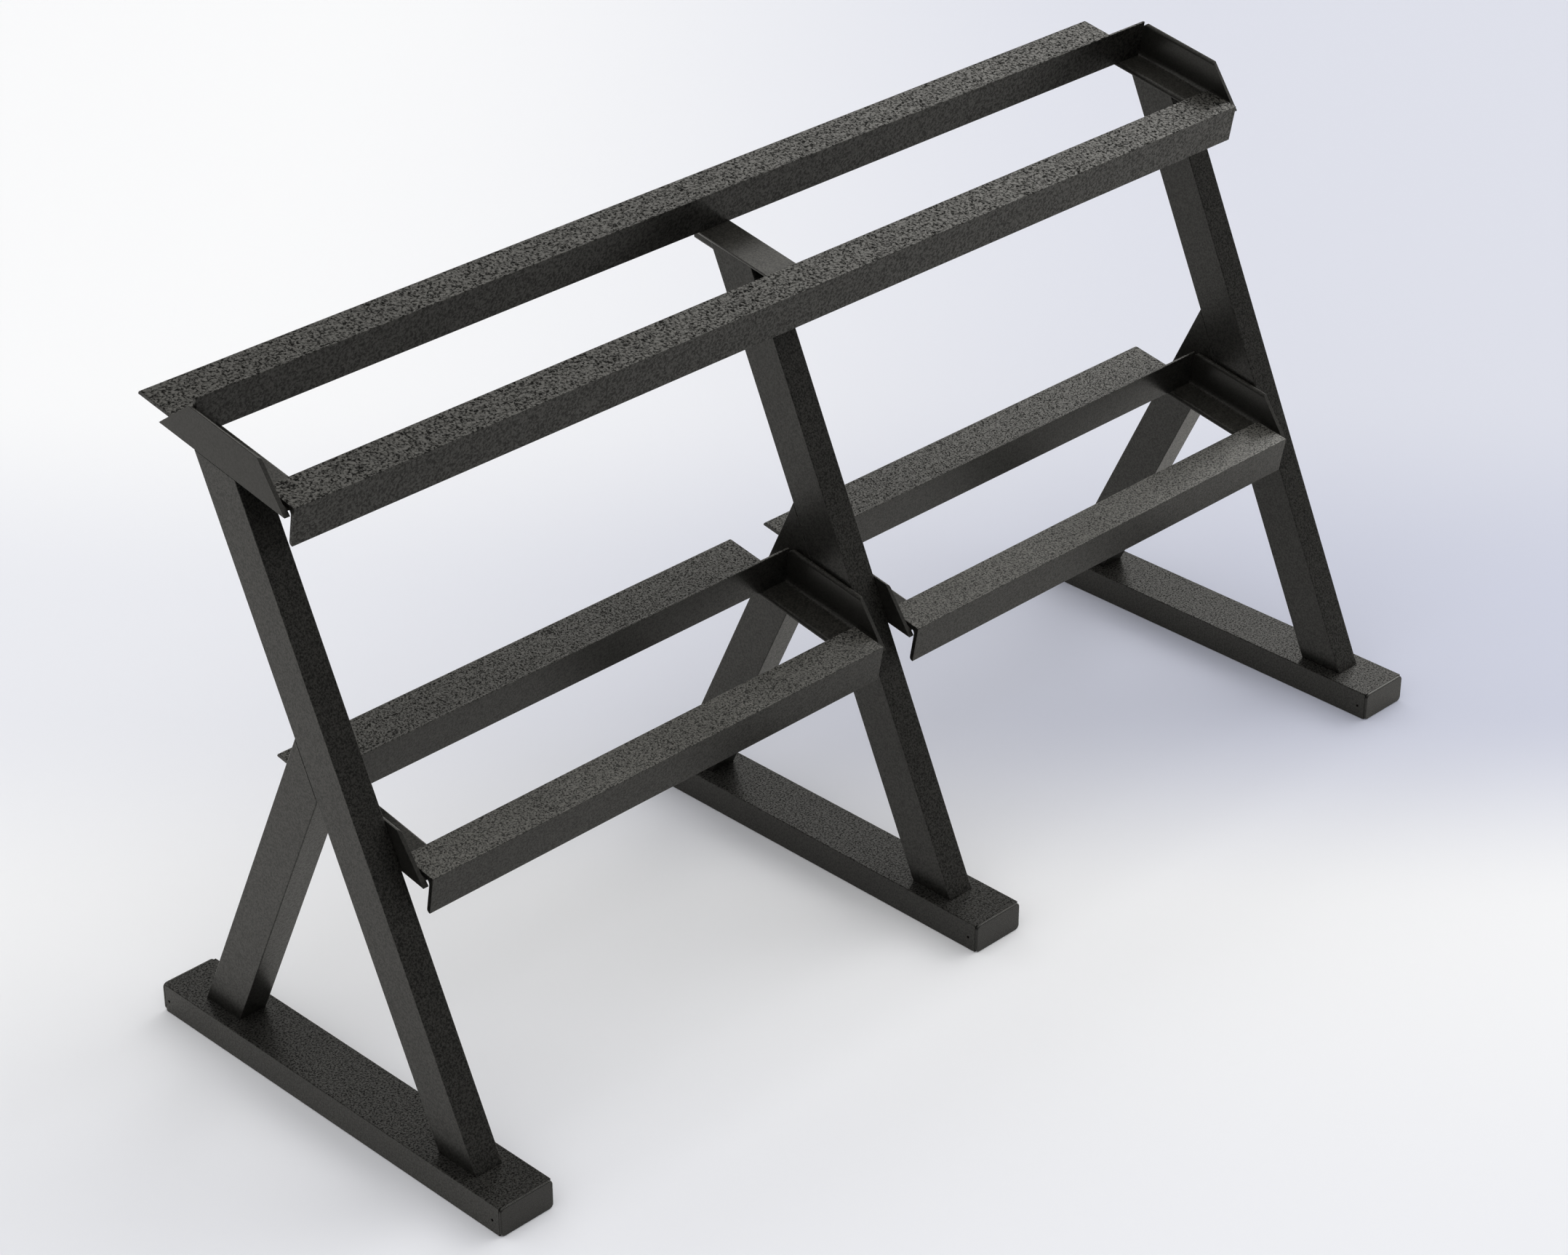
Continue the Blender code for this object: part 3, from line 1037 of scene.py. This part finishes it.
def studio_floor(looks):
    """A wide square of floor, one face, under the rack, with a cool band across it behind the rack's middle.

    A coat that reflects the floor sees one even tone in its place.
    """
    half = looks.half
    mesh = bpy.data.meshes.new("Studio floor")
    corners = np.array([(-half, -half, 0), (half, -half, 0), (half, half, 0), (-half, half, 0)])
    mesh.from_pydata(corners.tolist(), [], [(0, 1, 2, 3)])
    made = bpy.data.objects.new("Studio floor", mesh)
    made.location.z = -looks.drop
    bpy.context.scene.collection.objects.link(made)
    material = bpy.data.materials.new("Studio floor")
    material.use_nodes = True
    tree = material.node_tree
    shader = tree.nodes["Principled BSDF"]
    shader.inputs["Roughness"].default_value = 0.8
    shader.inputs["Specular IOR Level"].default_value = 0.1
    place = node(tree, "TexCoord")
    turned = node(tree, "Mapping", {"Rotation": (0, 0, FLOOR_TURN)})
    parts = node(tree, "SeparateXYZ")
    across = node(tree, "MapRange", mapped(FLOOR_BLEND), interpolation_type="SMOOTHSTEP")
    depth = node(tree, "MapRange", mapped(DEPTH_REACH))
    left = node(tree, "ValToRGB")
    right = node(tree, "ValToRGB")
    mix = node(tree, "Mix", data_type="RGBA")
    path = node(tree, "LightPath")
    seen = node(tree, "Mix", data_type="RGBA")
    socket(seen, "B").default_value = opaque(looks.mirrored)
    ramp(left, looks, LEFT_SHADES)
    ramp(right, looks, RIGHT_SHADES)
    wire(
        tree,
        (place.outputs["Object"], turned.inputs["Vector"]),
        (turned.outputs["Vector"], parts.inputs["Vector"]),
        (parts.outputs["X"], across.inputs["Value"]),
        (parts.outputs["Y"], depth.inputs["Value"]),
        (depth.outputs["Result"], left.inputs["Fac"]),
        (depth.outputs["Result"], right.inputs["Fac"]),
        (across.outputs["Result"], socket(mix, "Factor")),
        (left.outputs["Color"], socket(mix, "A")),
        (right.outputs["Color"], socket(mix, "B")),
        (path.outputs["Is Glossy Ray"], socket(seen, "Factor")),
        (mixed(mix), socket(seen, "A")),
        (mixed(seen), shader.inputs["Base Color"]),
    )
    mesh.materials.append(material)
    made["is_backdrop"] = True


def studio_sky(looks):
    """Brightness by direction: dark at the horizon, brightest overhead, and brighter to the right.

    The camera itself sees the even backdrop instead.
    """
    world = bpy.data.worlds.new("Studio sky")
    world.use_nodes = True
    tree = world.node_tree
    background = tree.nodes["Background"]
    place = node(tree, "TexCoord")
    parts = node(tree, "SeparateXYZ")
    rise = mapped(SKY_RISE, (looks.horizon, looks.overhead))
    height = node(tree, "MapRange", rise, interpolation_type="SMOOTHSTEP")
    sideways = mapped(SKY_ACROSS, (looks.left, 1.0))
    across = node(tree, "MapRange", sideways, interpolation_type="SMOOTHSTEP")
    both = node(tree, "Math", operation="MULTIPLY")
    path = node(tree, "LightPath")
    pale = node(tree, "Background", {"Color": opaque(looks.backdrop)})
    choose = node(tree, "MixShader")
    background.inputs["Color"].default_value = opaque(looks.sky)
    wire(
        tree,
        (place.outputs["Generated"], parts.inputs["Vector"]),
        (parts.outputs["Z"], height.inputs["Value"]),
        (parts.outputs["X"], across.inputs["Value"]),
        (height.outputs["Result"], both.inputs[0]),
        (across.outputs["Result"], both.inputs[1]),
        (both.outputs["Value"], background.inputs["Strength"]),
        (path.outputs["Is Camera Ray"], choose.inputs["Fac"]),
        (background.outputs["Background"], choose.inputs[1]),
        (pale.outputs["Background"], choose.inputs[2]),
        (choose.outputs["Shader"], tree.nodes["World Output"].inputs["Surface"]),
    )
    bpy.context.scene.world = world


def studio_lamps(looks):
    """Broad lamps from three sides, which fill the shadows on the floor and don't show in the gloss."""
    for number, (bearing, rise) in enumerate(LAMPS):
        lamp = bpy.data.lights.new(f"Fill lamp {number + 1}", "SUN")
        lamp.energy = looks.lamp
        lamp.angle = looks.spread
        made = bpy.data.objects.new(lamp.name, lamp)
        made.rotation_euler = (math.radians(90 - rise), 0, math.radians(bearing))
        made.visible_glossy = False
        bpy.context.scene.collection.objects.link(made)


def studio_camera(looks):
    """Looks at the rack from its left front, 30 degrees above the horizon."""
    lens = bpy.data.cameras.new("Camera")
    lens.sensor_width = 36.0
    lens.sensor_fit = "HORIZONTAL"
    lens.lens = looks.lens
    lens.clip_end = 200.0
    made = bpy.data.objects.new("Camera", lens)
    forward = Vector(looks.aim).normalized()
    right = forward.cross(Vector((0, 0, 1))).normalized()
    up = right.cross(forward)
    turned = Matrix((right, up, -forward)).transposed().to_4x4()
    made.matrix_world = Matrix.Translation(looks.camera) @ turned
    bpy.context.scene.collection.objects.link(made)
    bpy.context.scene.camera = made


class RACK_OT_studio(Operator):
    """Adds the pale floor, the soft light and the camera"""

    bl_idname = "rack.studio"
    bl_label = "Studio"

    def execute(self, context):
        looks = context.scene.rack_studio
        studio_floor(looks)
        studio_sky(looks)
        studio_lamps(looks)
        studio_camera(looks)
        context.scene.view_settings.view_transform = "Standard"
        return {"FINISHED"}


class RACK_PT_build(Panel):
    """Lists the steps that build the rack"""

    bl_idname = "RACK_PT_build"
    bl_label = "Dumbbell rack"
    bl_space_type = "VIEW_3D"
    bl_region_type = "UI"
    bl_category = "Rack"

    def draw(self, context):
        for step in STEPS:
            self.layout.operator(step.bl_idname)


STEPS = (
    RACK_OT_floor_tubes,
    RACK_OT_end_caps,
    RACK_OT_posts,
    RACK_OT_braces,
    RACK_OT_end_angles,
    RACK_OT_rails,
    RACK_OT_cross_angle,
    RACK_OT_studio,
)
SETTINGS = (("rack_sizes", RackSizes), ("rack_coat", CoatLooks), ("rack_studio", StudioLooks))


def register():
    for name, group in SETTINGS:
        bpy.utils.register_class(group)
        setattr(bpy.types.Scene, name, PointerProperty(type=group))
    for step in (*STEPS, RACK_PT_build):
        bpy.utils.register_class(step)


def unregister():
    for step in reversed((*STEPS, RACK_PT_build)):
        bpy.utils.unregister_class(step)
    for name, group in reversed(SETTINGS):
        delattr(bpy.types.Scene, name)
        bpy.utils.unregister_class(group)


def corners():
    return [list(corner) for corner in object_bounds()]


def main():
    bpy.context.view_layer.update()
    register()
    for old in [o for o in bpy.data.objects if o.type in {"LIGHT", "CAMERA"} or o.name == "Cube"]:
        bpy.data.objects.remove(old)
    for step in STEPS:
        group, action = step.bl_idname.split(".")
        getattr(getattr(bpy.ops, group), action)()


if __name__ == "__main__":
    main()
